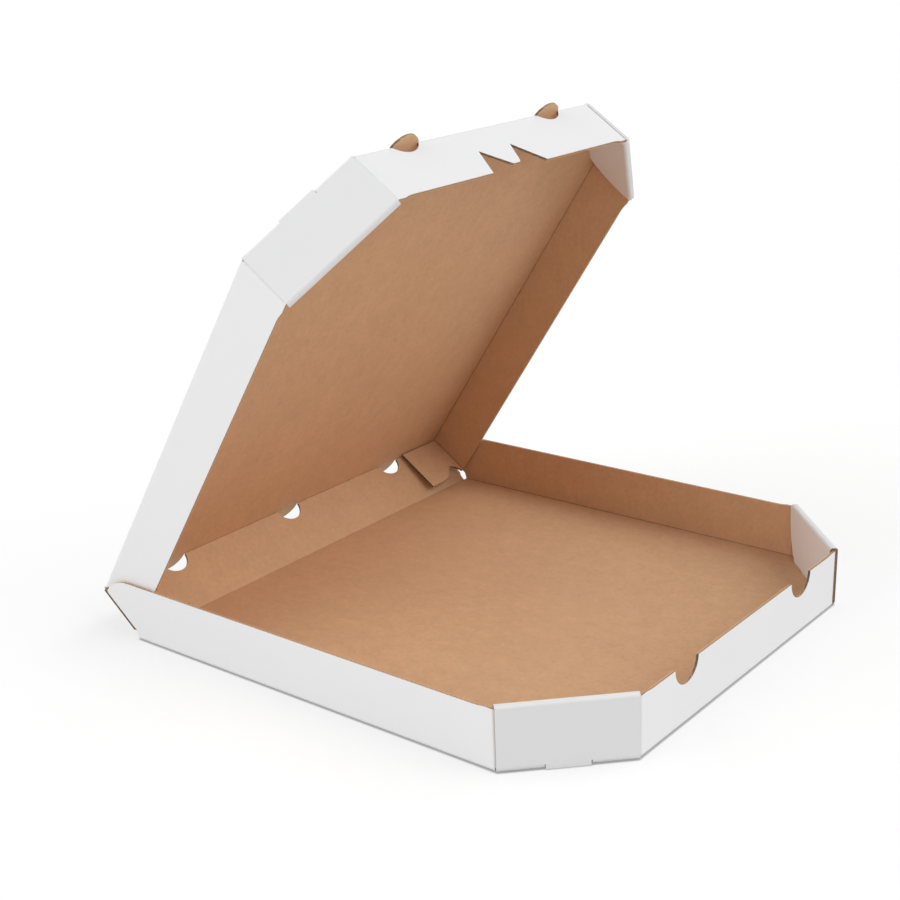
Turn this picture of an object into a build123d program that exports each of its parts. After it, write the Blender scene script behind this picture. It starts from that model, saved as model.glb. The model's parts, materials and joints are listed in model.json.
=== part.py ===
from build123d import *
import math
import os

# One-piece pizza carton of thin corrugated board, 33 cm square, with cut front corners.
# Millimetres. The origin is the middle of the base's underside, +Z is up and the front faces -Y.
# The tray, the back wall and the lid are one die-cut sheet, so they meet only at its two rear creases.

# Board, and the air between its layers
board = 1.5
crease_radius = 0.6
layer_gap = 0.3
crease_gap = 0.3
cut_gap = 0.45
flap_gap = 0.4
overrun = 4.0
lap = 6.0

# Tray
tray_width = 330.0
tray_depth = 330.0
wall_height = 36.0
corner_rise = 2.5
corner_cut = 51.5

# Lid, which drops inside the tray's walls
lid_side_clearance = 1.2
lid_front_clearance = 4.0
lid_corner_clearance = 1.75
lid_lift = 0.5
lid_wall_height = 35.0
lid_corner_height = 38.0

# Rolled corner panels and the flaps tucked into them
tuck_length = 33.0
tuck_foot = 0.3
foot_start = 2.4
rise_length = 7.0
panel_end = 1.2
corner_fold = 3.0
roll_crease = 0.25
tongue_width = 24.0
shoulder_inset = 12.0
bulge_inset = 1.6
bulge_height_share = 0.55

# Finger notches in the tray's front wall and the lift tabs above them
grip_spacing = 131.0
notch_radius = 12.0
tab_width = 22.0
tab_reach = 6.5

# Lock cut-out in the lid's front wall: two leaning notches with a tongue between them
lock_steep_run = 6.0
lock_gentle_run = 16.0
lock_tongue_width = 7.0
lock_depth = 17.5
lock_tongue_short = 3.0
tongue_round_share = 0.4

# Half-moon vents along the rear crease
vent_radius = 10.0
vent_spacing = 106.5

# Dust flaps on the lid's side walls
dust_length = 40.0
dust_extra = 2.0
dust_back_gap = 1.5
arch_root = 3.0
arch_peak = 10.0
arch_end = 30.0
arch_depth = 9.0

# Rear wings of the tray's side walls, which stand outside the leaning back wall
wing_reach = 27.0
wing_step = 6.0
wing_tip_radius = 1.5
wing_stand_off = 3.0

# Ends of the back wall beside the base's crease
relief_height = 6.0
relief_depth = 2.0

# Turned from closed in the photographed pose
back_wall_lean = 50.0
lid_lean = 6.0

# Sizes that follow from these
fold_radius = board + crease_radius
root_two = math.sqrt(2)
foot_height = fold_radius + tuck_foot
roll_radius = board + roll_crease
stack = 3 * board + 2 * layer_gap
tuck_offset = board + layer_gap
tray_half = tray_width / 2
tray_front = -tray_depth / 2
tray_rear = tray_depth / 2
corner_height = wall_height + corner_rise
lid_half = tray_half - board - lid_side_clearance
lid_front = tray_front + board + lid_front_clearance
tray_reach = tray_half - tray_front - corner_cut
lid_reach = tray_reach - (stack + lid_corner_clearance) * root_two
lid_cut = lid_half - lid_front - lid_reach
crease_y = tray_rear - board / 2
base_crease_z = board / 2
top_crease_z = corner_height + lid_lift + board / 2
lid_top = top_crease_z + board / 2
base_crease = Axis((0, crease_y, base_crease_z), (1, 0, 0))
top_crease = Axis((0, crease_y, top_crease_z), (1, 0, 0))
base_rear = crease_y - board / 2 - crease_gap
wall_half = tray_half - board - cut_gap
dust_face = tray_rear - board - dust_back_gap


def inner_points(points, side):
    """The points of a folded strip's inner face, one board's thickness from its outer face."""
    turn = 1 if side == Side.LEFT else -1
    corners = [Vector(point) for point in points]
    normals = [(b - a).normalized().rotate(Axis.Z, turn * 90) for a, b in zip(corners, corners[1:])]
    mitres = [(a + b) / (1 + a.dot(b)) for a, b in zip(normals, normals[1:])]
    shifts = [normals[0], *mitres, normals[-1]]
    return [corner + shift * board for corner, shift in zip(corners, shifts)]


def folded_strip(plane, outer_points, radii, side, length):
    """Extrude a strip of board that is folded along the points of its outer face."""
    inner_radii = [radius - board for radius in radii]
    with BuildSketch(plane) as section:
        with BuildLine():
            outer = FilletPolyline(*outer_points, radius=radii)
            inner = FilletPolyline(*inner_points(outer_points, side), radius=inner_radii)
            Line(outer @ 0, inner @ 0)
            Line(outer @ 1, inner @ 1)
        make_face()
    extrude(section.sketch, amount=length)


def panel(plane, points, thickness, mode=Mode.ADD):
    """Extrude a straight-sided outline."""
    with BuildSketch(plane) as outline:
        with BuildLine():
            Polyline(*points, close=True)
        make_face()
    extrude(outline.sketch, amount=thickness, mode=mode)


def base_half(half, front, cut, rear):
    """The left half of the flat panel, up to the start of its folds."""
    shift = corner_fold * root_two - fold_radius
    points = [
        (0, rear),
        (-half + fold_radius, rear),
        (-half + fold_radius, front + cut + shift),
        (-half + cut + shift, front + fold_radius),
        (0, front + fold_radius),
    ]
    panel(Plane.XY, points, board)


def side_wall(half, front, cut, rear, height):
    """The left wall, from its rear end to the tuck flap's bend, with a low foot under the bend."""
    bend = front + cut + tuck_offset * root_two
    plane = Plane((-half, rear, 0), x_dir=(1, 0, 0), z_dir=(0, -1, 0))
    length = rear - bend - board
    foot_length = rear - front - cut - foot_start
    folded_strip(plane, [(lap, 0), (0, 0), (0, height)], [fold_radius], Side.RIGHT, length)
    folded_strip(plane, [(lap, 0), (0, 0), (0, foot_height)], [fold_radius], Side.RIGHT, foot_length)


def front_wall(half, front, cut, height):
    """The left half of the front wall, with a low foot under the tuck flap's bend."""
    bend = -half + cut + tuck_offset * root_two
    plane = Plane((bend + board, front, 0), x_dir=(0, 1, 0), z_dir=(1, 0, 0))
    foot = -half + cut + foot_start
    foot_plane = Plane((foot, front, 0), x_dir=(0, 1, 0), z_dir=(1, 0, 0))
    folded_strip(plane, [(lap, 0), (0, 0), (0, height)], [fold_radius], Side.RIGHT, -bend - board)
    folded_strip(foot_plane, [(lap, 0), (0, 0), (0, foot_height)], [fold_radius], Side.RIGHT, -foot)


def rim_rise(plane, height, flap_top, thickness):
    """Where a rim sweeps up to its taller tuck flap; the plane's X runs away from the corner."""
    sweep_end = lap + rise_length
    with BuildSketch(plane) as rise:
        with BuildLine():
            Polyline((lap, flap_top), (lap / 2, flap_top), (lap / 2, height - lap), (sweep_end, height - lap))
            Line((sweep_end, height - lap), (sweep_end, height))
            TangentArc((sweep_end, height), (lap, flap_top), tangent=(-1, 0))
        make_face()
    extrude(rise.sketch, amount=thickness)


def tuck_flaps(half, front, cut, height):
    """The two flaps that bend off the wall ends and lie inside the rolled corner."""
    side_bend = front + cut + tuck_offset * root_two
    front_bend = -half + cut + tuck_offset * root_two
    step = tuck_length / root_two
    plane = Plane.XY.offset(foot_height)
    tall = height - foot_height
    side_points = [(-half, side_bend + lap), (-half, side_bend), (-half + step, side_bend - step)]
    front_points = [(front_bend - step, front + step), (front_bend, front), (front_bend + lap, front)]
    folded_strip(plane, side_points, [fold_radius], Side.LEFT, tall)
    folded_strip(plane, front_points, [fold_radius], Side.LEFT, tall)


def rolled_corner(half, front, cut, height):
    """The cut-corner panel: up from the base, rolled over the tuck flaps and down into its slot."""
    width = cut * root_two + 2 * panel_end
    shoulder = board + layer_gap
    along = Vector(1, -1, 0).normalized()
    plane = Plane(Vector(-half, front + cut, 0) - along * panel_end, x_dir=(1, 1, 0), z_dir=along)
    outer_points = [(lap, 0), (0, 0), (0, height), (stack, height), (stack, shoulder)]
    folded_strip(plane, outer_points, [corner_fold, roll_radius, roll_radius], Side.RIGHT, width)

    # The inner flap narrows to a tab between two curved sides
    flap_plane = Plane(
        plane.origin + plane.x_dir * (stack - board - layer_gap / 2),
        x_dir=plane.z_dir,
        z_dir=-plane.x_dir,
    )
    tab_inset = (width - tongue_width) / 2 + cut_gap
    bulge_height = height * bulge_height_share
    with BuildSketch(flap_plane) as trim:
        with BuildLine():
            Polyline(
                (0, height - stack / 2),
                (-layer_gap, height - stack / 2),
                (-layer_gap, shoulder),
                (shoulder_inset, shoulder),
            )
            ThreePointArc((shoulder_inset, shoulder), (bulge_inset, bulge_height), (0, height - stack / 2))
        make_face()
        mirror(about=Plane.YZ.offset(width / 2))
    extrude(trim.sketch, amount=-board - layer_gap - overrun, mode=Mode.SUBTRACT)

    # Slot for that tab in the base, with the outer panel's own tongue closing its front
    slot_start = (width - tongue_width) / 2 - cut_gap
    slot_end = (width + tongue_width) / 2 + cut_gap
    slot_plane = Plane(plane.origin + plane.z_dir * slot_start, x_dir=plane.x_dir, z_dir=plane.z_dir)
    slot_points = [
        (-overrun, -overrun),
        (stack - board - layer_gap, -overrun),
        (stack - board - layer_gap, corner_fold),
        (-overrun, corner_fold),
    ]
    panel(slot_plane, slot_points, slot_end - slot_start, Mode.SUBTRACT)
    hole_points = [
        (stack - board - lap, -overrun),
        (stack + layer_gap, -overrun),
        (stack + layer_gap, board),
        (stack - board - lap, board),
    ]
    panel(slot_plane, hole_points, slot_end - slot_start, Mode.SUBTRACT)
    tongue_start = (width - tongue_width) / 2
    tongue_plane = Plane(plane.origin + plane.z_dir * tongue_start, x_dir=plane.x_dir, z_dir=plane.z_dir)
    tongue_points = [(0, 0), (board, 0), (board, corner_fold + lap), (0, corner_fold + lap)]
    panel(tongue_plane, tongue_points, tongue_width)
    tab_plane = Plane(plane.origin + plane.z_dir * tab_inset, x_dir=plane.x_dir, z_dir=plane.z_dir)
    tab_points = [
        (stack - board, layer_gap),
        (stack, layer_gap),
        (stack, shoulder + lap),
        (stack - board, shoulder + lap),
    ]
    panel(tab_plane, tab_points, width - 2 * tab_inset)


def cut_corner_shell(half, front, cut, plate_rear, wall_rear, height, rolled_height):
    """The left half of a shallow tray with a rolled cut corner at its front."""
    flap_top = rolled_height - board - flap_gap
    base_half(half, front, cut, plate_rear)
    side_wall(half, front, cut, wall_rear, height)
    front_wall(half, front, cut, height)
    side_bend = front + cut + tuck_offset * root_two
    front_bend = -half + cut + tuck_offset * root_two
    rim_rise(Plane((-half, side_bend, 0), x_dir=(0, 1, 0), z_dir=(1, 0, 0)), height, flap_top, board)
    rim_rise(Plane((front_bend, front, 0), x_dir=(1, 0, 0), z_dir=(0, -1, 0)), height, flap_top, -board)
    tuck_flaps(half, front, cut, flap_top)
    rolled_corner(half, front, cut, rolled_height)


# Tray: base, side walls with rear wings, front wall with finger notches, rolled corners
with BuildPart() as tray:
    cut_corner_shell(
        tray_half, tray_front, corner_cut, base_rear, base_rear, wall_height, corner_height
    )
    lean = math.radians(back_wall_lean)
    slope = Vector(math.sin(lean), math.cos(lean))
    stand_off = Vector(-math.cos(lean), math.sin(lean)) * (board / 2 + wing_stand_off)
    wing_foot = Vector(crease_y, base_crease_z) + stand_off
    wing_tip = wing_foot + slope * (wing_reach / math.sin(lean))
    wing_low = wing_foot + slope * (fold_radius / math.cos(lean))
    with BuildSketch(Plane((-tray_half, 0, 0), x_dir=(0, 1, 0), z_dir=(1, 0, 0))) as wing:
        with BuildLine():
            Polyline(
                (base_rear - lap, fold_radius),
                (base_rear, fold_radius),
                (wing_low.X, wing_low.Y),
                (wing_tip.X, wing_tip.Y),
            )
            TangentArc(
                (base_rear + wing_step, wall_height), (wing_tip.X, wing_tip.Y), tangent=(1, 0)
            )
            Polyline(
                (base_rear + wing_step, wall_height),
                (base_rear - lap, wall_height),
                (base_rear - lap, fold_radius),
            )
        make_face()
        fillet(wing.vertices().group_by(Axis.X)[-1], radius=wing_tip_radius)
    extrude(wing.sketch, amount=board)
    with BuildSketch(Plane((0, tray_front, 0), x_dir=(1, 0, 0), z_dir=(0, -1, 0))) as notch:
        with Locations((-grip_spacing / 2, wall_height)):
            Circle(notch_radius)
    extrude(notch.sketch, amount=board + overrun, both=True, mode=Mode.SUBTRACT)
    mirror(about=Plane.YZ)
tray.part.label = "tray"

# Back wall, upright as in the closed carton, with its foot rounded on the base's crease
with BuildPart() as upright_wall:
    wall_top = top_crease_z - board / 2 - crease_gap
    with BuildSketch(Plane.YZ.offset(-wall_half)) as wall_section:
        with BuildLine():
            Line((crease_y - board / 2, base_crease_z), (crease_y - board / 2, wall_top))
            Line((crease_y - board / 2, wall_top), (crease_y + board / 2, wall_top))
            Line((crease_y + board / 2, wall_top), (crease_y + board / 2, base_crease_z))
            ThreePointArc(
                (crease_y + board / 2, base_crease_z),
                (crease_y, base_crease_z - board / 2),
                (crease_y - board / 2, base_crease_z),
            )
        make_face()
    extrude(wall_section.sketch, amount=2 * wall_half)
    with BuildSketch(Plane((0, tray_rear, 0), x_dir=(1, 0, 0), z_dir=(0, -1, 0))) as wall_cuts:
        with Locations((-vent_spacing, top_crease_z), (0, top_crease_z), (vent_spacing, top_crease_z)):
            Circle(vent_radius + cut_gap)
        with Locations((-wall_half, base_crease_z), (wall_half, base_crease_z)):
            Ellipse(relief_depth, relief_height)
    extrude(wall_cuts.sketch, amount=board + overrun, both=True, mode=Mode.SUBTRACT)

with BuildPart() as back_wall:
    add(upright_wall.part.rotate(base_crease, -back_wall_lean))
back_wall.part.label = "back_wall"

# Lid, drawn on its back like the tray: Z is the distance from its outer face
with BuildPart() as lid_on_back:
    cut_corner_shell(
        lid_half, lid_front, lid_cut, crease_y, dust_face - fold_radius, lid_wall_height, lid_corner_height
    )

    # Rounded rear edge on the crease, and the tabs left standing in the vents
    with BuildSketch(Plane.YZ) as bead:
        with Locations((crease_y, board / 2)):
            Circle(board / 2)
    extrude(bead.sketch, amount=-lid_half)
    with BuildSketch(Plane.XY) as vent_tabs:
        with Locations((0, crease_y), (-vent_spacing, crease_y)):
            Circle(vent_radius)
    extrude(vent_tabs.sketch, amount=board)

    # Dust flap bent off the rear end of the side wall, with an arch beside its root
    dust_points = [
        (-lid_half + dust_length, dust_face),
        (-lid_half, dust_face),
        (-lid_half, dust_face - 2 * lap),
    ]
    dust_top = lid_wall_height + dust_extra
    dust_foot = fold_radius + layer_gap
    folded_strip(Plane.XY.offset(dust_foot), dust_points, [fold_radius], Side.LEFT, dust_top - dust_foot)
    arch_plane = Plane((-lid_half, dust_face + overrun, 0), x_dir=(1, 0, 0), z_dir=(0, -1, 0))
    with BuildSketch(arch_plane) as arch:
        with BuildLine():
            Line((-overrun, lid_wall_height), (arch_root, lid_wall_height))
            Spline(
                (arch_root, lid_wall_height),
                (arch_peak, dust_top - arch_depth),
                (arch_end, dust_top),
                tangents=[(1, -2), (1, 0)],
            )
            Polyline(
                (arch_end, dust_top),
                (arch_end, dust_top + overrun),
                (-overrun, dust_top + overrun),
                (-overrun, lid_wall_height),
            )
        make_face()
    extrude(arch.sketch, amount=overrun + 2 * lap, mode=Mode.SUBTRACT)

    # Lift tab in the panel's plane, cut out of the front wall below it
    tab_radius = (tab_width ** 2 / 4 + tab_reach ** 2) / (2 * tab_reach)
    tab_x = -grip_spacing / 2
    with BuildSketch(Plane((tab_x, lid_front, 0), x_dir=(1, 0, 0), z_dir=(0, -1, 0))) as tab_hole:
        with Locations((0, tab_reach - tab_radius)):
            Circle(tab_radius + cut_gap)
    extrude(tab_hole.sketch, amount=overrun, mode=Mode.SUBTRACT)
    extrude(tab_hole.sketch, amount=-fold_radius, mode=Mode.SUBTRACT)
    with BuildSketch(Plane((tab_x, lid_front, 0), x_dir=(1, 0, 0), z_dir=(0, 0, 1))) as tab:
        with BuildLine():
            ThreePointArc((-tab_width / 2, 0), (0, -tab_reach), (tab_width / 2, 0))
            Polyline(
                (tab_width / 2, 0),
                (tab_width / 2, fold_radius + lap),
                (-tab_width / 2, fold_radius + lap),
                (-tab_width / 2, 0),
            )
        make_face()
    extrude(tab.sketch, amount=board)
    mirror(about=Plane.YZ)

    # Lock cut-out: two leaning notches with a blunt tongue between them
    lock_pitch = lock_gentle_run + lock_tongue_width + lock_steep_run
    lock_start = (lock_pitch + lock_steep_run + lock_gentle_run) / 2
    first_point = lock_start - lock_steep_run
    tongue_depth = lid_wall_height - lock_tongue_short
    with BuildSketch(Plane((0, lid_front, 0), x_dir=(1, 0, 0), z_dir=(0, -1, 0))) as lock:
        with BuildLine():
            Polyline(
                (lock_start, lid_wall_height + overrun),
                (lock_start, lid_wall_height),
                (first_point, lid_wall_height - lock_depth),
                (first_point - lock_gentle_run, tongue_depth),
                (first_point - lock_gentle_run - lock_tongue_width, tongue_depth),
                (first_point - lock_pitch, lid_wall_height - lock_depth),
                (-lock_start, lid_wall_height),
                (-lock_start, lid_wall_height + overrun),
                close=True,
            )
        make_face()
        tongue_corners = lock.vertices().group_by(Axis.Y)[1]
        fillet(tongue_corners, radius=lock_tongue_width * tongue_round_share)
    extrude(lock.sketch, amount=overrun, both=True, mode=Mode.SUBTRACT)

with BuildPart() as lid:
    closed_lid = lid_on_back.part.rotate(Axis.Y, 180).moved(Location((0, 0, lid_top)))
    add(closed_lid.rotate(top_crease, -lid_lean).rotate(base_crease, -back_wall_lean))
lid.part.label = "lid"

os.makedirs("parts", exist_ok=True)
export_step(tray.part, "parts/tray.step")
export_step(back_wall.part, "parts/back_wall.step")
export_step(lid.part, "parts/lid.step")
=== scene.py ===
import json
import math

import bpy
from bpy.props import FloatProperty, FloatVectorProperty, PointerProperty
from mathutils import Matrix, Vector


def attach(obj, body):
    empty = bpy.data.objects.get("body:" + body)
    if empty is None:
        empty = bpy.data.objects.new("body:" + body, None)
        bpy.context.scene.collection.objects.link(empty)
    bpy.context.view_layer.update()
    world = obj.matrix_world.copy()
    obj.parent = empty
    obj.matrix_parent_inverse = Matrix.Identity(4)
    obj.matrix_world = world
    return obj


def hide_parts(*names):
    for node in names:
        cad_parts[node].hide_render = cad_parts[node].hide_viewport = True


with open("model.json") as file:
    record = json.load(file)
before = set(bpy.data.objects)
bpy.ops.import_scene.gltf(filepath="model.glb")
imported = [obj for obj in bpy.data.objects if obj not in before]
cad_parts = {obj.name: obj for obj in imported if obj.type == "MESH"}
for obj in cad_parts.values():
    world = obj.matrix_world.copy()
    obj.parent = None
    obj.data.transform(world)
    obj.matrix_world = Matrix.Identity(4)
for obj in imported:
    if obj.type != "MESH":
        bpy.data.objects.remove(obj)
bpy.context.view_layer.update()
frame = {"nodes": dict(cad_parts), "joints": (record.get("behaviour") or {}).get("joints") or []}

bl_info = {
    "name": "Pizza box",
    "version": (1, 0, 0),
    "blender": (4, 5, 0),
    "location": "3D View > Sidebar > Pizza box",
    "description": "Dresses the folded board of an open pizza box and stands it on a studio floor",
    "category": "Object",
}

MILLIMETRE = 0.001
LINER_OUTSIDE, LINER_INSIDE, CUT_EDGE = range(3)
EDGE_MAP = "cut_edge"
FLUTE_ATTRIBUTE = "across_flutes"
# Marks the fold strips, whose tone gets painted shade
FOLD_SHADE_ATTRIBUTE = "painted_fold_shade"
OPEN_ATTRIBUTE = "open_flutes"

# Pattern of the liners; real fibres are finer than 0.1 mm, so they are drawn coarser to show
CLOUD = 70 * MILLIMETRE
MOTTLE = 9 * MILLIMETRE
FIBRE = 2.4 * MILLIMETRE
FLECK = 2.2 * MILLIMETRE
FLECK_LEVELS = (0.66, 0.76)
FIBRE_STRETCH = (1, 0.8, 0.8)
FLUTE_PRINT = 0.12
LINER_RELIEF, LINER_BUMP = 0.03 * MILLIMETRE, 0.1
ROUGHNESS_SPREAD = 0.15

# Pattern of a cut edge; the first four are shares of the board's thickness
MIDDLE = 0.5
WAVE_SWING = 0.3
CORE_HALF = 0.12
HOLLOW_HALF = 0.34
TORN_FIBRE = 0.9 * MILLIMETRE
TORN_TONE, TORN_SPREAD = 0.8, 0.4
# Painted shade in the open ends of the flutes, on cuts across them
OPEN_END_SHADE = 0.7
EDGE_RELIEF, EDGE_BUMP = 0.2 * MILLIMETRE, 0.6

# How points and faces are told apart; all but the first two are cosines of a face's turn
MERGE_REACH = 0.001 * MILLIMETRE
FLAT_TURN = math.radians(1.5)
FACING = 0.999
NEARLY_FACING = 0.95
HALF_FACING = 0.25
SLANT, SLANT_SLACK = math.sqrt(0.5), 0.1

# Where the lid's corners lie: from the middle to a slanting end, and from the crease to a rear end
CORNER_END = 100 * MILLIMETRE
REAR_END_NEAR, REAR_END_FAR = 3.5 * MILLIMETRE, 5 * MILLIMETRE
REAR_END_DEPTH = 2.4 * MILLIMETRE


def linear(code):
    """An sRGB hex colour as linear red, green, blue and alpha."""
    shares = [int(code[i:i + 2], 16) / 255 for i in (1, 3, 5)]
    return [s / 12.92 if s <= 0.04045 else ((s + 0.055) / 1.055) ** 2.4 for s in shares] + [1.0]


def hinge(name):
    """A point of a joint's axis at rest, from the frame."""
    return Vector(next(joint["pos_m"] for joint in frame["joints"] if joint["name"] == name))


class BoardSettings(bpy.types.PropertyGroup):
    """Sizes and colours of the corrugated board."""

    thickness: FloatProperty(
        name="Thickness",
        description="Thickness of the board, liners and flutes together",
        default=1.5 * MILLIMETRE,
        unit="LENGTH",
        precision=4,
    )
    flute_pitch: FloatProperty(
        name="Flute pitch",
        description="Distance from one flute of the board's core to the next",
        default=3.3 * MILLIMETRE,
        unit="LENGTH",
        precision=4,
    )
    fold_turn: FloatProperty(
        name="Fold turn",
        description="Largest turn between two faces of one liner; a cut edge turns by more",
        default=math.radians(40),
        subtype="ANGLE",
    )
    fold_strip: FloatProperty(
        name="Fold strip",
        description="Width below which a long face belongs to the rounded strip of a fold",
        default=0.75 * MILLIMETRE,
        unit="LENGTH",
        precision=5,
    )
    corner_lead: FloatProperty(
        name="Corner lead",
        description="How far the lid's rear corners run on over the roots of the dust flaps",
        default=2.6 * MILLIMETRE,
        unit="LENGTH",
        precision=4,
    )
    back_wall_lean: FloatProperty(
        name="Back wall lean",
        description="How far the back wall leans back from upright",
        default=math.radians(50),
        subtype="ANGLE",
    )
    lid_rise: FloatProperty(
        name="Lid rise",
        description="How far the lid is raised from the closed box",
        default=math.radians(56),
        subtype="ANGLE",
    )
    white: FloatVectorProperty(
        name="White coat",
        description="Colour of the coated outside",
        default=linear("#ECECED"),
        size=4,
        subtype="COLOR",
        min=0,
        max=1,
    )
    kraft: FloatVectorProperty(
        name="Kraft",
        description="Colour of the bare inside",
        default=linear("#D4AB86"),
        size=4,
        subtype="COLOR",
        min=0,
        max=1,
    )
    edge_paper: FloatVectorProperty(
        name="Cut paper",
        description="Colour of the liners and flutes where the board is cut",
        default=linear("#DCC2A4"),
        size=4,
        subtype="COLOR",
        min=0,
        max=1,
    )
    edge_hollow: FloatVectorProperty(
        name="Hollow flutes",
        description="Colour of the shaded hollows between the flutes",
        default=linear("#AC8562"),
        size=4,
        subtype="COLOR",
        min=0,
        max=1,
    )


class StageSettings(bpy.types.PropertyGroup):
    """Floor, lights and camera."""

    floor: FloatVectorProperty(
        name="Floor",
        description="Colour of the pale floor as the camera sees it",
        default=linear("#FDFDFD"),
        size=4,
        subtype="COLOR",
        min=0,
        max=1,
    )
    floor_bounce: FloatVectorProperty(
        name="Floor bounce",
        description="Colour of the floor in the light that it throws back on the box",
        default=linear("#E7E7E7"),
        size=4,
        subtype="COLOR",
        min=0,
        max=1,
    )
    floor_radius: FloatProperty(
        name="Floor radius",
        description="Radius of the floor's disc",
        default=8,
        unit="LENGTH",
    )
    floor_drop: FloatProperty(
        name="Floor drop",
        description="How far the floor lies below the base, so that the two don't share a plane",
        default=0.1 * MILLIMETRE,
        unit="LENGTH",
        precision=5,
    )
    # Painted shadow on the floor: a thin dark contact line, and a wide faint shade round the box
    contact_shadow_reach: FloatProperty(
        name="Contact reach",
        description="Width of the thin dark line where the box meets the floor",
        default=1.8 * MILLIMETRE,
        unit="LENGTH",
        precision=4,
    )
    contact_shadow_depth: FloatProperty(
        name="Contact depth",
        description="How dark that line is",
        default=0.55,
        min=0,
        max=1,
        subtype="FACTOR",
    )
    shade_reach: FloatProperty(
        name="Shade reach",
        description="Width of the faint shade on the floor round the box",
        default=70 * MILLIMETRE,
        unit="LENGTH",
    )
    shade_depth: FloatProperty(
        name="Shade depth",
        description="How dark that shade is",
        default=0.07,
        min=0,
        max=1,
        subtype="FACTOR",
    )
    floor_lift: FloatProperty(
        name="Floor lift",
        description="Share of plain white in the floor as the camera sees it, which pales the shadows",
        default=0.6,
        min=0,
        max=1,
        subtype="FACTOR",
    )
    floor_glow: FloatProperty(
        name="Floor glow",
        description="Level of that white, where 1 is the picture's own white",
        default=1.08,
        min=0,
    )
    sky: FloatProperty(
        name="Sky level",
        description="Strength of the even light from all round",
        default=0.43,
        min=0,
    )
    key_strength: FloatProperty(
        name="Key strength",
        description="Strength of the wide soft light at the front, which reaches in under the lid",
        default=1.75,
        min=0,
    )
    key_direction: FloatVectorProperty(
        name="Key direction",
        description="Where the light at the front comes from",
        default=(0.46, -0.64, 0.62),
        subtype="DIRECTION",
    )
    fill_strength: FloatProperty(
        name="Fill strength",
        description="Strength of the wide soft light on the left, which lights the white outside",
        default=1.97,
        min=0,
    )
    fill_direction: FloatVectorProperty(
        name="Fill direction",
        description="Where the light on the left comes from",
        default=(-0.74, 0.6, 0.26),
        subtype="DIRECTION",
    )
    light_spread: FloatProperty(
        name="Light spread",
        description="Angle that each wide light fills, which softens its shadows",
        default=math.radians(70),
        subtype="ANGLE",
    )
    camera_place: FloatVectorProperty(
        name="Camera place",
        description="Where the camera stands",
        default=(-706.5 * MILLIMETRE, -533.5 * MILLIMETRE, 417.9 * MILLIMETRE),
        subtype="TRANSLATION",
        unit="LENGTH",
    )
    camera_turn: FloatVectorProperty(
        name="Camera turn",
        description="How the camera is turned",
        default=(math.radians(67.244), math.radians(2.313), math.radians(-51.529)),
        subtype="EULER",
        unit="ROTATION",
    )
    lens: FloatProperty(
        name="Lens",
        description="Focal length of the camera",
        default=61.97,
        unit="CAMERA",
    )
    rise: FloatProperty(
        name="Lens rise",
        description="Upward shift of the lens, as a share of the picture's width",
        default=0.1,
    )


def add_node(tree, kind, links=(), **settings):
    """Add a node, set it up, and fill its inputs with values or with other nodes' outputs."""
    node = tree.nodes.new(kind)
    for name, value in settings.items():
        setattr(node, name, value)
    for socket, value in dict(links).items():
        if isinstance(value, bpy.types.NodeSocket):
            tree.links.new(value, node.inputs[socket])
        else:
            node.inputs[socket].default_value = value
    return node


def new_material(name):
    """An empty node material and its output node."""
    material = bpy.data.materials.new(name)
    material.use_nodes = True
    material.node_tree.nodes.clear()
    return material, material.node_tree, add_node(material.node_tree, "ShaderNodeOutputMaterial")


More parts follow.
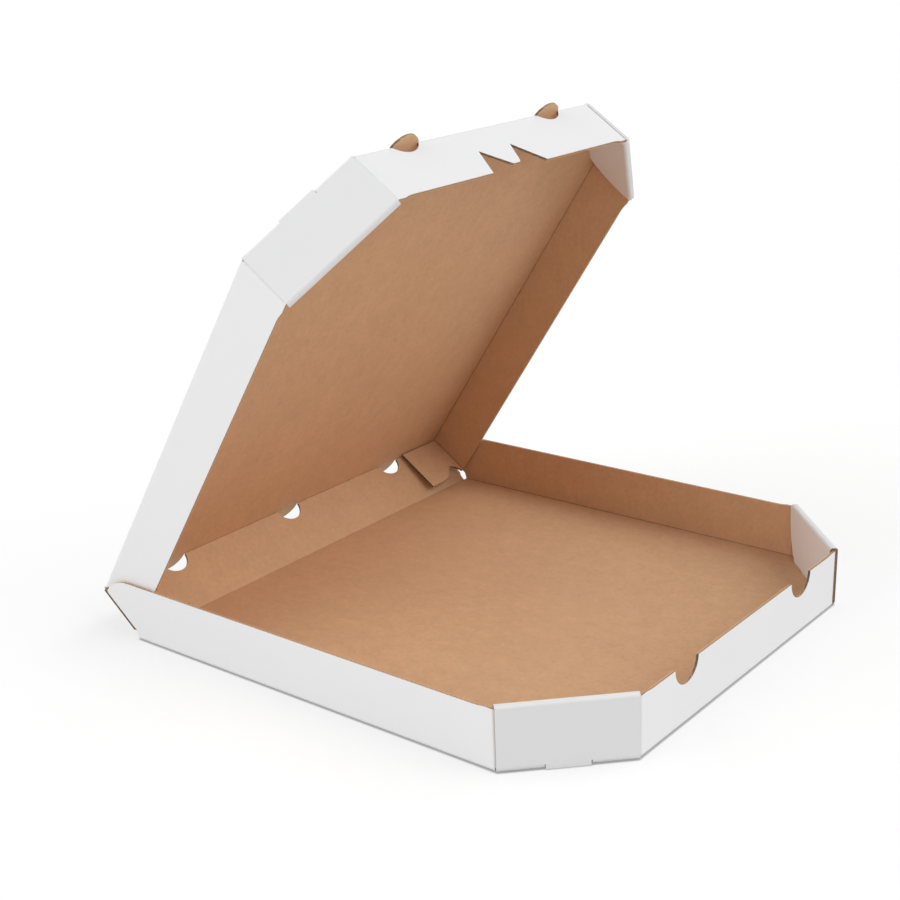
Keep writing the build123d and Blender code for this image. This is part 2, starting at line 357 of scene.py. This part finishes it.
def liner(name, board, colour, roughness, specular, clouds, mottling, fibres, flecks, folds):
    """A liner of pressed fibre; clouds to folds say how strongly each of them changes its tone, folds being
    the painted shade in the creases.
    """
    material, tree, output = new_material(name)
    place = add_node(tree, "ShaderNodeTexCoord").outputs["Object"]
    # Fibres lie across the flutes, so the pattern is drawn out that way
    laid = add_node(tree, "ShaderNodeMapping", {"Vector": place, "Scale": FIBRE_STRETCH}).outputs[0]
    tone = 1.0
    for size, detail, spread in ((CLOUD, 3, clouds), (MOTTLE, 2, mottling), (FIBRE, 4, fibres)):
        noise = add_node(
            tree, "ShaderNodeTexNoise", {"Vector": laid, "Scale": 1 / size, "Detail": detail}
        ).outputs["Fac"]
        centred = add_node(tree, "ShaderNodeMath", {0: noise, 1: 0.5}, operation="SUBTRACT").outputs[0]
        tone = add_node(
            tree, "ShaderNodeMath", {0: centred, 1: spread, 2: tone}, operation="MULTIPLY_ADD"
        ).outputs[0]
    specks = add_node(
        tree, "ShaderNodeTexNoise", {"Vector": place, "Scale": 1 / FLECK, "Detail": 2}
    ).outputs["Fac"]
    low, high = FLECK_LEVELS
    fleck = add_node(
        tree, "ShaderNodeMapRange", {"Value": specks, "From Min": low, "From Max": high}
    ).outputs[0]
    tone = add_node(
        tree, "ShaderNodeMath", {0: fleck, 1: -flecks, 2: tone}, operation="MULTIPLY_ADD"
    ).outputs[0]
    # Painted shade: the rounded strips of the folds are darkened, as shade falls in the creases
    fold = add_node(tree, "ShaderNodeAttribute", attribute_name=FOLD_SHADE_ATTRIBUTE).outputs["Fac"]
    tone = add_node(
        tree, "ShaderNodeMath", {0: fold, 1: -folds, 2: tone}, operation="MULTIPLY_ADD"
    ).outputs[0]
    tinted = add_node(tree, "ShaderNodeHueSaturation", {"Color": colour, "Value": tone}).outputs[0]
    # The flutes show through the liner as a faint wave
    across = add_node(tree, "ShaderNodeAttribute", attribute_name=FLUTE_ATTRIBUTE).outputs["Fac"]
    turn = 2 * math.pi / board.flute_pitch
    angle = add_node(tree, "ShaderNodeMath", {0: across, 1: turn}, operation="MULTIPLY").outputs[0]
    ridges = add_node(tree, "ShaderNodeMath", {0: angle}, operation="SINE").outputs[0]
    relief = add_node(
        tree, "ShaderNodeMath", {0: ridges, 1: FLUTE_PRINT, 2: noise}, operation="MULTIPLY_ADD"
    ).outputs[0]
    bump = add_node(
        tree, "ShaderNodeBump", {"Height": relief, "Strength": LINER_BUMP, "Distance": LINER_RELIEF}
    ).outputs[0]
    smooth, rough = roughness - ROUGHNESS_SPREAD, roughness + ROUGHNESS_SPREAD
    matt = add_node(
        tree, "ShaderNodeMapRange", {"Value": noise, "To Min": smooth, "To Max": rough}
    ).outputs[0]
    surface = add_node(
        tree,
        "ShaderNodeBsdfPrincipled",
        {"Base Color": tinted, "Roughness": matt, "Specular IOR Level": specular, "Normal": bump},
    )
    tree.links.new(surface.outputs[0], output.inputs[0])
    return material


def white_coat(board):
    """Clay-coated white liner, calendered: nearly even, with a low sheen and faint painted shade in its
    folds.
    """
    return liner(
        "white_coated_liner",
        board,
        board.white,
        roughness=0.55,
        specular=0.35,
        clouds=0.015,
        mottling=0.0,
        fibres=0.006,
        flecks=0.0,
        folds=0.03,
    )


def bare_kraft(board):
    """Unbleached kraft liner: warm brown, matt, mottled, with visible fibre, flecks and painted shade
    darkening its folds.
    """
    return liner(
        "bare_kraft_liner",
        board,
        board.kraft,
        roughness=0.85,
        specular=0.2,
        clouds=0.12,
        mottling=0.15,
        fibres=0.25,
        flecks=0.14,
        folds=0.35,
    )


def cut_board(board):
    """Die-cut edge of corrugated board: two liners with the wave of the core between them, and painted shade
    in the hollows and open flute ends.
    """
    material, tree, output = new_material("cut_corrugated_edge")
    edge = add_node(tree, "ShaderNodeUVMap", uv_map=EDGE_MAP).outputs[0]
    split = add_node(tree, "ShaderNodeSeparateXYZ", {0: edge})
    along, depth = split.outputs[0], split.outputs[1]
    turn = 2 * math.pi / board.flute_pitch
    angle = add_node(tree, "ShaderNodeMath", {0: along, 1: turn}, operation="MULTIPLY").outputs[0]
    swing = add_node(tree, "ShaderNodeMath", {0: angle}, operation="SINE").outputs[0]
    wave = add_node(
        tree, "ShaderNodeMath", {0: swing, 1: WAVE_SWING, 2: MIDDLE}, operation="MULTIPLY_ADD"
    ).outputs[0]
    # COMPARE is 1 within its third value: on the core's wave, and between the two liners
    core = add_node(
        tree, "ShaderNodeMath", {0: depth, 1: wave, 2: CORE_HALF}, operation="COMPARE"
    ).outputs[0]
    inner = add_node(
        tree, "ShaderNodeMath", {0: depth, 1: MIDDLE, 2: HOLLOW_HALF}, operation="COMPARE"
    ).outputs[0]
    liners = add_node(tree, "ShaderNodeMath", {0: 1.0, 1: inner}, operation="SUBTRACT").outputs[0]
    paper = add_node(tree, "ShaderNodeMath", {0: core, 1: liners}, operation="MAXIMUM").outputs[0]
    # Painted shade: the hollows beside the wave and between the liners take the darker hollow colour
    mixed = add_node(
        tree,
        "ShaderNodeMix",
        {"Factor": paper, "A": board.edge_hollow, "B": board.edge_paper},
        data_type="RGBA",
    ).outputs["Result"]
    place = add_node(tree, "ShaderNodeTexCoord").outputs["Object"]
    tear = add_node(
        tree, "ShaderNodeTexNoise", {"Vector": place, "Scale": 1 / TORN_FIBRE, "Detail": 3}
    ).outputs["Fac"]
    tone = add_node(
        tree, "ShaderNodeMath", {0: tear, 1: TORN_SPREAD, 2: TORN_TONE}, operation="MULTIPLY_ADD"
    ).outputs[0]
    # A cut across the flutes looks into their open ends, which get painted shade, and one along them does not
    ends = add_node(tree, "ShaderNodeAttribute", attribute_name=OPEN_ATTRIBUTE).outputs["Fac"]
    tone = add_node(
        tree, "ShaderNodeMath", {0: ends, 1: -OPEN_END_SHADE, 2: tone}, operation="MULTIPLY_ADD"
    ).outputs[0]
    tinted = add_node(tree, "ShaderNodeHueSaturation", {"Color": mixed, "Value": tone}).outputs[0]
    bump = add_node(
        tree, "ShaderNodeBump", {"Height": paper, "Strength": EDGE_BUMP, "Distance": EDGE_RELIEF}
    ).outputs[0]
    surface = add_node(
        tree,
        "ShaderNodeBsdfPrincipled",
        {"Base Color": tinted, "Roughness": 0.9, "Specular IOR Level": 0.15, "Normal": bump},
    )
    tree.links.new(surface.outputs[0], output.inputs[0])
    return material


def board_materials(board):
    """The board's three finishes, made once and shared by all its panels."""
    makers = {
        "white_coated_liner": white_coat,
        "bare_kraft_liner": bare_kraft,
        "cut_corrugated_edge": cut_board,
    }
    return [bpy.data.materials.get(name) or make(board) for name, make in makers.items()]


def select(piece, kind, wanted):
    """Select just the faces or edges that a test accepts, and stay in edit mode."""
    bpy.ops.object.mode_set(mode="EDIT")
    bpy.ops.mesh.select_mode(type=kind)
    bpy.ops.mesh.select_all(action="DESELECT")
    bpy.ops.object.mode_set(mode="OBJECT")
    for part in piece.data.polygons if kind == "FACE" else piece.data.edges:
        part.select = wanted(part)
    bpy.ops.object.mode_set(mode="EDIT")


def select_liner(piece, board, direction):
    """Select one liner of the sheet: its widest face that way, and all that its folds lead to."""
    facing = [face for face in piece.data.polygons if face.normal.dot(direction) > FACING]
    seed = max(facing, key=lambda face: face.area).index
    select(piece, "FACE", lambda face: face.index == seed)
    bpy.ops.mesh.faces_select_linked_flat(sharpness=board.fold_turn)


def assign(piece, slot):
    """Give the selected faces one of the piece's finishes."""
    piece.active_material_index = slot
    bpy.ops.object.material_slot_assign()
    bpy.ops.object.mode_set(mode="OBJECT")


def flat_patches(mesh):
    """The mesh's flat patches, each a list of faces that lie in one plane with their neighbours."""
    beside = {}
    for face in mesh.polygons:
        for side in face.edge_keys:
            beside.setdefault(side, []).append(face)
    patches, seen = [], set()
    for start in mesh.polygons:
        if start.index in seen:
            continue
        seen.add(start.index)
        patch = [start]
        for face in patch:
            for other in (other for side in face.edge_keys for other in beside[side]):
                if other.index not in seen and other.normal.angle(face.normal, 0) < FLAT_TURN:
                    seen.add(other.index)
                    patch.append(other)
        patches.append(patch)
    return patches


def crisp_folds(piece, board):
    """Mark the rounded strips of the folds for painted crease shade, and keep the flat board beside them flat
    in the light.
    """
    mesh = piece.data
    in_fold = [False] * len(mesh.polygons)
    for patch in flat_patches(mesh):
        points = [mesh.vertices[corner].co for face in patch for corner in face.vertices]
        length = max((point - points[0]).length for point in points)
        narrow = sum(face.area for face in patch) < board.fold_strip * length
        for face in patch:
            in_fold[face.index] = narrow
    # The fold strips, but not their cut edges, get the painted crease shade
    folds = mesh.attributes.new(FOLD_SHADE_ATTRIBUTE, "FLOAT", "FACE")
    sides = {}
    for face in mesh.polygons:
        folds.data[face.index].value = float(in_fold[face.index] and face.material_index != CUT_EDGE)
        for side in face.edge_keys:
            sides.setdefault(side, set()).add(in_fold[face.index])
    select(piece, "EDGE", lambda edge: len(sides[edge.key]) == 2)
    bpy.ops.mesh.mark_sharp()
    bpy.ops.object.mode_set(mode="OBJECT")


def write_edge_map(piece, across):
    """Lay the cut edges out across the flutes and through the board, and store how open each cut is."""
    mesh = piece.data
    depth = [MIDDLE] * len(mesh.vertices)
    for face in mesh.polygons:
        if face.material_index != CUT_EDGE:
            for corner in face.vertices:
                depth[corner] = float(face.material_index == LINER_INSIDE)
    layer = mesh.uv_layers.new(name=EDGE_MAP)
    ends = mesh.attributes.new(OPEN_ATTRIBUTE, "FLOAT", "FACE")
    for face in mesh.polygons:
        if face.material_index == CUT_EDGE:
            # The flutes run along x, so a cut that faces that way opens them and gets the most painted shade
            ends.data[face.index].value = abs(face.normal.x)
            for loop, corner in zip(face.loop_indices, face.vertices):
                layer.data[loop].uv = (mesh.vertices[corner].co.dot(across), depth[corner])


def write_flutes(piece, direction):
    """Store each point's place across the flutes, which run along the box's rear creases."""
    attribute = piece.data.attributes.new(FLUTE_ATTRIBUTE, "FLOAT", "POINT")
    for point, stored in zip(piece.data.vertices, attribute.data):
        stored.value = point.co.dot(direction)


def copy_panel(context, node):
    """Copy a folded panel of the CAD, with its doubled points merged, and make it the active object."""
    bpy.ops.object.select_all(action="DESELECT")
    piece = bpy.data.objects.new(node + "_board", frame["nodes"][node].data.copy())
    context.scene.collection.objects.link(piece)
    context.view_layer.objects.active = piece
    piece.select_set(True)
    bpy.ops.mesh.customdata_custom_splitnormals_clear()
    bpy.ops.object.mode_set(mode="EDIT")
    bpy.ops.mesh.select_all(action="SELECT")
    bpy.ops.mesh.remove_doubles(threshold=MERGE_REACH)
    bpy.ops.object.mode_set(mode="OBJECT")
    return piece


def dress_panel(context, piece, node, outward, across, crease):
    """Tell a panel's liners and cut edges apart, and give each its finish."""
    board = context.scene.pizza_box_board
    turn_reach, bead_reach = 2 * board.thickness, 0.6 * board.thickness
    piece.data.materials.clear()
    for material in board_materials(board):
        piece.data.materials.append(material)
    select(piece, "FACE", lambda face: True)
    assign(piece, CUT_EDGE)

    def from_crease(face):
        """Distance of a face from the rear crease that the panel turns about."""
        return Vector((face.center.y - crease.y, face.center.z - crease.z)).length

    def on_turn(face):
        """True where the sheet turns over at the crease, or is cut beside it."""
        return from_crease(face) < turn_reach and abs(face.normal.dot(outward)) < NEARLY_FACING

    def on_bead(face):
        """True on the rounded bead that turns in the crease."""
        return from_crease(face) < bead_reach

    def on_inner_bead(face):
        """True on the bead's share that shows inside the box."""
        return on_bead(face) and face.normal.dot(outward) < -HALF_FACING

    select(piece, "FACE", on_turn)
    bpy.ops.mesh.hide()
    bpy.ops.object.mode_set(mode="OBJECT")
    select_liner(piece, board, outward)
    assign(piece, LINER_OUTSIDE)
    select_liner(piece, board, -outward)
    assign(piece, LINER_INSIDE)
    bpy.ops.object.mode_set(mode="EDIT")
    bpy.ops.mesh.reveal(select=False)
    bpy.ops.object.mode_set(mode="OBJECT")
    select(piece, "FACE", on_bead)
    assign(piece, LINER_OUTSIDE)
    select(piece, "FACE", on_inner_bead)
    assign(piece, LINER_INSIDE)

    # The walls stand up from the panel, so the way across the flutes goes on along them
    write_edge_map(piece, across - outward)
    write_flutes(piece, across)
    bpy.ops.object.shade_smooth_by_angle(angle=board.fold_turn)
    crisp_folds(piece, board)
    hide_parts(node)
    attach(piece, node)


class PIZZA_BOX_OT_tray(bpy.types.Operator):
    """Dress the tray: base, walls, rear wings and rolled front corners"""

    bl_idname = "pizza_box.tray"
    bl_label = "Tray"

    def execute(self, context):
        outward, rearward = Vector((0, 0, -1)), Vector((0, 1, 0))
        piece = copy_panel(context, "tray")
        dress_panel(context, piece, "tray", outward, rearward, hinge("back_wall_hinge"))
        return {"FINISHED"}


class PIZZA_BOX_OT_back_wall(bpy.types.Operator):
    """Dress the back wall with its half-moon vents"""

    bl_idname = "pizza_box.back_wall"
    bl_label = "Back wall"

    def execute(self, context):
        lean = context.scene.pizza_box_board.back_wall_lean
        up = Vector((0, math.sin(lean), math.cos(lean)))
        outward = Vector((0, math.cos(lean), -math.sin(lean)))
        piece = copy_panel(context, "back_wall")
        dress_panel(context, piece, "back_wall", outward, up, hinge("back_wall_hinge"))
        return {"FINISHED"}


class PIZZA_BOX_OT_lid(bpy.types.Operator):
    """Dress the lid: panel, walls, lift tabs, dust flaps and rolled front corners"""

    bl_idname = "pizza_box.lid"
    bl_label = "Lid"

    def execute(self, context):
        board = context.scene.pizza_box_board
        forward = Vector((0, -math.cos(board.lid_rise), math.sin(board.lid_rise)))
        outward = Vector((0, math.sin(board.lid_rise), math.cos(board.lid_rise)))
        piece = copy_panel(context, "lid")
        self.close_corners(piece, forward, outward, board.corner_lead)
        dress_panel(context, piece, "lid", outward, forward, hinge("lid_hinge"))
        self.coat_corner_ends(piece, outward)
        return {"FINISHED"}

    def coat_corner_ends(self, piece, outward):
        """Coat the slanting cut ends of the corner panels, where the liner is pressed over at the folds."""

        def at_end(face):
            """True on a cut end at 45 degrees to the walls, out beside the lift tabs."""
            return (
                face.material_index == CUT_EDGE
                and abs(abs(face.normal.x) - SLANT) < SLANT_SLACK
                and abs(face.normal.dot(outward)) < SLANT_SLACK
                and abs(face.center.x) > CORNER_END
            )

        select(piece, "FACE", at_end)
        assign(piece, LINER_OUTSIDE)

    def close_corners(self, piece, forward, outward, lead):
        """Lead the panel's two rear corners on towards the crease, over the roots of the dust flaps."""
        crease = hinge("lid_hinge")

        def at_corner(face):
            """True on the short rear end of the panel beside a dust flap."""
            place = face.center - crease
            return (
                face.normal.dot(forward) < -FACING
                and REAR_END_NEAR < place.dot(forward) < REAR_END_FAR
                and place.dot(outward) > -REAR_END_DEPTH
            )

        select(piece, "FACE", at_corner)
        if not piece.data.total_face_sel:
            raise RuntimeError("The lid's rear corners were not found")
        bpy.ops.mesh.extrude_region_move(TRANSFORM_OT_translate={"value": -lead * forward})
        bpy.ops.object.mode_set(mode="OBJECT")


class PIZZA_BOX_OT_stage(bpy.types.Operator):
    """Make the floor, the lights and the camera"""

    bl_idname = "pizza_box.stage"
    bl_label = "Stage"

    def execute(self, context):
        stage = context.scene.pizza_box_stage
        self.make_floor(context, stage)
        self.make_world(context, stage)
        self.make_light(context, "key_light", stage.key_direction, stage.key_strength, stage.light_spread)
        self.make_light(context, "fill_light", stage.fill_direction, stage.fill_strength, stage.light_spread)
        self.make_camera(context, stage)
        context.scene.view_settings.view_transform = "Standard"
        return {"FINISHED"}

    def make_floor(self, context, stage):
        """A wide disc just under the base, paler to the camera than in the light it throws back, with shadow
        painted round the box.
        """
        bpy.ops.object.select_all(action="DESELECT")
        bpy.ops.mesh.primitive_circle_add(
            vertices=96, radius=stage.floor_radius, fill_type="NGON", location=(0, 0, -stage.floor_drop)
        )
        floor = context.object
        floor.name = "studio_floor"
        material, tree, output = new_material("studio_floor_paint")
        seen = add_node(tree, "ShaderNodeLightPath").outputs["Is Camera Ray"]
        # Painted shadow in the floor's colour: a thin dark line where the box meets the floor, and a wide
        # faint shade round it
        shades = ((stage.contact_shadow_reach, stage.contact_shadow_depth), (stage.shade_reach, stage.shade_depth))
        white = stage.floor
        for reach, depth in shades:
            # A wall hides half of the sky at its foot, and the shade is full there
            open_sky = add_node(
                tree, "ShaderNodeAmbientOcclusion", {"Distance": reach}, samples=8
            ).outputs["AO"]
            level = add_node(
                tree, "ShaderNodeMapRange", {"Value": open_sky, "From Min": 0.5, "To Min": 1 - depth}
            ).outputs[0]
            white = add_node(tree, "ShaderNodeHueSaturation", {"Color": white, "Value": level}).outputs[0]
        shade = add_node(
            tree, "ShaderNodeMix", {"Factor": seen, "A": stage.floor_bounce, "B": white}, data_type="RGBA"
        ).outputs["Result"]
        paint = add_node(tree, "ShaderNodeBsdfDiffuse", {"Color": shade}).outputs[0]
        glow = add_node(tree, "ShaderNodeEmission", {"Color": white, "Strength": stage.floor_glow}).outputs[0]
        lift = add_node(
            tree, "ShaderNodeMath", {0: seen, 1: stage.floor_lift}, operation="MULTIPLY"
        ).outputs[0]
        shown = add_node(tree, "ShaderNodeMixShader", {0: lift, 1: paint, 2: glow})
        tree.links.new(shown.outputs[0], output.inputs[0])
        floor.data.materials.append(material)

    def make_world(self, context, stage):
        """White to the camera and to reflections, and an even soft light to everything else."""
        world = bpy.data.worlds.new("studio_backdrop")
        world.use_nodes = True
        tree = world.node_tree
        tree.nodes.clear()
        path = add_node(tree, "ShaderNodeLightPath").outputs
        seen = path["Is Camera Ray"]
        for ray in ("Is Glossy Ray", "Is Transmission Ray"):
            seen = add_node(tree, "ShaderNodeMath", {0: seen, 1: path[ray]}, operation="MAXIMUM").outputs[0]
        level = add_node(
            tree, "ShaderNodeMapRange", {"Value": seen, "To Min": stage.sky, "To Max": 1.0}
        ).outputs[0]
        backdrop = add_node(tree, "ShaderNodeBackground", {"Strength": level, "Color": linear("#FFFFFF")})
        output = add_node(tree, "ShaderNodeOutputWorld")
        tree.links.new(backdrop.outputs[0], output.inputs[0])
        context.scene.world = world

    def make_light(self, context, name, direction, strength, spread):
        """One wide soft light."""
        source = Vector(direction)
        turn = source.to_track_quat("Z", "Y").to_euler()
        bpy.ops.object.light_add(type="SUN", location=source, rotation=turn)
        light = context.object
        light.name = name
        light.data.energy = strength
        light.data.angle = spread

    def make_camera(self, context, stage):
        """The photograph's viewing angle."""
        bpy.ops.object.camera_add(location=stage.camera_place, rotation=stage.camera_turn)
        camera = context.object
        camera.name = "photo_camera"
        camera.data.lens = stage.lens
        camera.data.shift_y = stage.rise
        context.scene.camera = camera


class PIZZA_BOX_PT_sidebar(bpy.types.Panel):
    """Settings and steps of the pizza box"""

    bl_label = "Pizza box"
    bl_idname = "PIZZA_BOX_PT_sidebar"
    bl_space_type = "VIEW_3D"
    bl_region_type = "UI"
    bl_category = "Pizza box"

    def draw(self, context):
        column = self.layout.column()
        for step in STEPS:
            column.operator(step.bl_idname)
        for group in (context.scene.pizza_box_board, context.scene.pizza_box_stage):
            column.separator()
            for name in type(group).__annotations__:
                column.prop(group, name)


STEPS = (PIZZA_BOX_OT_tray, PIZZA_BOX_OT_back_wall, PIZZA_BOX_OT_lid, PIZZA_BOX_OT_stage)
CLASSES = (BoardSettings, StageSettings, *STEPS, PIZZA_BOX_PT_sidebar)


def register():
    for entry in CLASSES:
        bpy.utils.register_class(entry)
    bpy.types.Scene.pizza_box_board = PointerProperty(type=BoardSettings)
    bpy.types.Scene.pizza_box_stage = PointerProperty(type=StageSettings)


def unregister():
    del bpy.types.Scene.pizza_box_stage
    del bpy.types.Scene.pizza_box_board
    for entry in reversed(CLASSES):
        bpy.utils.unregister_class(entry)


def main():
    register()
    bpy.ops.pizza_box.tray()
    bpy.ops.pizza_box.back_wall()
    bpy.ops.pizza_box.lid()
    bpy.ops.pizza_box.stage()


if __name__ == "__main__":
    main()
